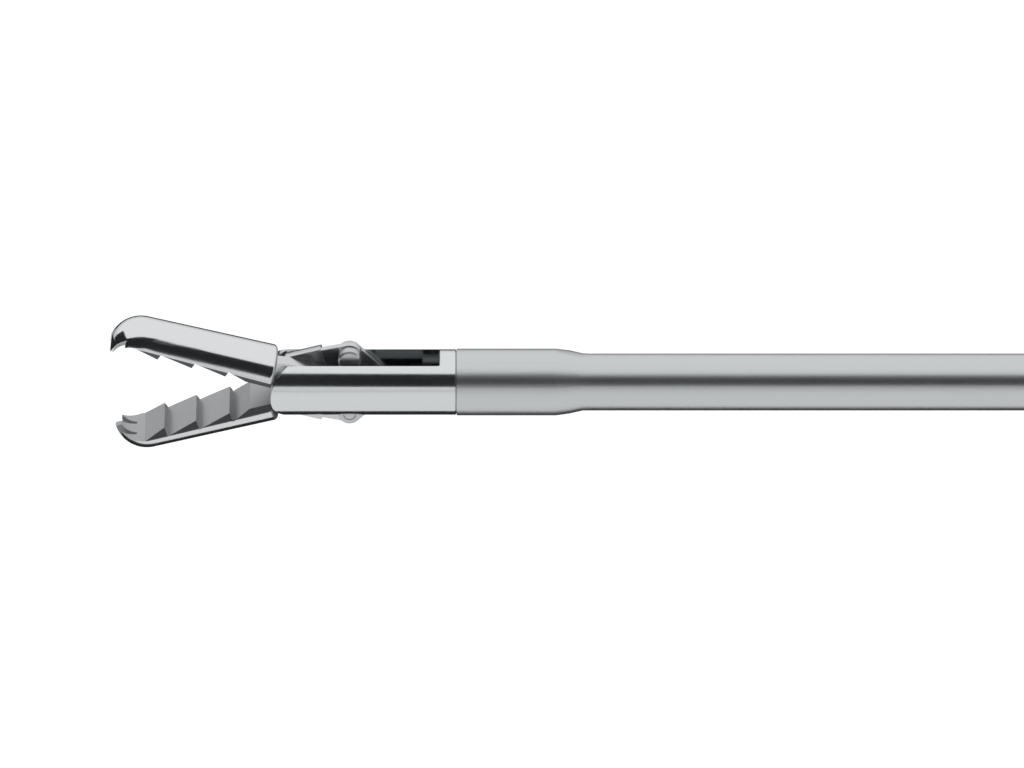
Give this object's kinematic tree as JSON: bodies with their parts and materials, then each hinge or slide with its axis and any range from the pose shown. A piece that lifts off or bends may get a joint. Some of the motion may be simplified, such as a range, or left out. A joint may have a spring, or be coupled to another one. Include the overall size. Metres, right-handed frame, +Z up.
{
  "type": "laparoscopic grasper",
  "caption": "Long thin surgical grasper: double-action clawed jaws on a steel tube, rotation wheel, and ring handle with a ratchet.",
  "frame": {"origin": "on the shaft's axis, at the seam between the jaw head and the tube", "axes": "+X along the shaft towards the handle, jaws at -X, +Z up away from the finger loop, jaws open in the XZ plane"},
  "size_m": [0.44, 0.0238, 0.102],
  "materials": {
    "satin_tube": "satin, finely ground lengthwise",
    "polished_steel": "polished stainless steel",
    "polished_jaw": "polished outside, matt teeth",
    "link_steel": "fine ground",
    "rod_steel": "drawn bar",
    "guide_plastic": "natural white",
    "seal_rubber": "moulded",
    "wheel_plastic": "fine grained",
    "screw_steel": "turned",
    "spring_steel": "drawn wire",
    "satin_handle": "bead blasted satin",
    "ratchet_steel": "fine ground"
  },
  "bodies": {
    "handle": {"fixed_handle": "satin_handle", "hub_bearing_bush": "guide_plastic", "detent_ball": "rod_steel", "detent_spring": "spring_steel", "lever_pivot_screw": "screw_steel", "lever_pivot_nut": "screw_steel", "pawl_pin": "screw_steel", "pawl_spring": "spring_steel"},
    "shaft": {"jaw_head": "polished_steel", "jaw_pivot_pin": "polished_steel", "outer_tube": "satin_tube", "rod_guide_bushes": "guide_plastic", "shaft_hub": "polished_steel", "flush_port": "polished_steel", "rod_seal": "seal_rubber", "rotation_wheel": "wheel_plastic", "wheel_set_screw": "screw_steel", "hub_retaining_clip": "spring_steel"},
    "push_rod": {"push_rod": "rod_steel", "rod_tongue_pin": "rod_steel", "rod_ball_end": "rod_steel", "rod_lock_nut": "rod_steel"},
    "lower_jaw": {"lower_jaw": "polished_jaw", "lower_jaw_link_pin": "polished_steel"},
    "upper_jaw": {"upper_jaw": "polished_jaw", "upper_jaw_link_pin": "polished_steel"},
    "lower_jaw_link": {"lower_jaw_link": "link_steel"},
    "upper_jaw_link": {"upper_jaw_link": "link_steel"},
    "thumb_lever": {"thumb_lever": "satin_handle", "ratchet_bar": "ratchet_steel", "ratchet_rivets": "screw_steel"},
    "ratchet_pawl": {"ratchet_pawl": "ratchet_steel"}
  },
  "joints": [
    {"name": "shaft_rotation", "type": "hinge", "parent": "handle", "child": "shaft", "pos_m": [0.302, 0, 0], "axis": [1, 0, 0], "continuous": true},
    {"name": "thumb_lever", "type": "hinge", "parent": "handle", "child": "thumb_lever", "pos_m": [0.346, 0, -0.005], "axis": [0, 1, 0], "range_deg": [0, 15.29]},
    {"name": "rod_pull", "type": "slide", "parent": "shaft", "child": "push_rod", "axis": [1, 0, 0], "range_m": [0, 0.00132]},
    {"name": "lower_jaw_pivot", "type": "hinge", "parent": "shaft", "child": "lower_jaw", "pos_m": [-0.01344, 0, 0], "axis": [0, 1, 0], "range_deg": [0, 15.7]},
    {"name": "upper_jaw_pivot", "type": "hinge", "parent": "shaft", "child": "upper_jaw", "pos_m": [-0.01344, 0, 0], "axis": [0, 1, 0], "range_deg": [-15.7, 0]},
    {"name": "lower_link_pivot", "type": "hinge", "parent": "lower_jaw", "child": "lower_jaw_link", "pos_m": [-0.0094, 0, 0.00255], "axis": [0, 1, 0], "range_deg": [-38.31, 0]},
    {"name": "upper_link_pivot", "type": "hinge", "parent": "upper_jaw", "child": "upper_jaw_link", "pos_m": [-0.0094, 0, -0.00255], "axis": [0, 1, 0], "range_deg": [0, 38.31]},
    {"name": "ratchet_release", "type": "hinge", "parent": "handle", "child": "ratchet_pawl", "pos_m": [0.32621, 0, -0.03369], "axis": [0, 1, 0], "range_deg": [-8, 0]}
  ],
  "couplings": [
    {"joint": "rod_pull", "follows": "thumb_lever", "m_per_rad": 0.0049409},
    {"joint": "lower_jaw_pivot", "follows": "thumb_lever", "ratio": 1.0267},
    {"joint": "upper_jaw_pivot", "follows": "thumb_lever", "ratio": -1.0267},
    {"joint": "lower_link_pivot", "follows": "thumb_lever", "ratio": -2.5048},
    {"joint": "upper_link_pivot", "follows": "thumb_lever", "ratio": 2.5048}
  ]
}
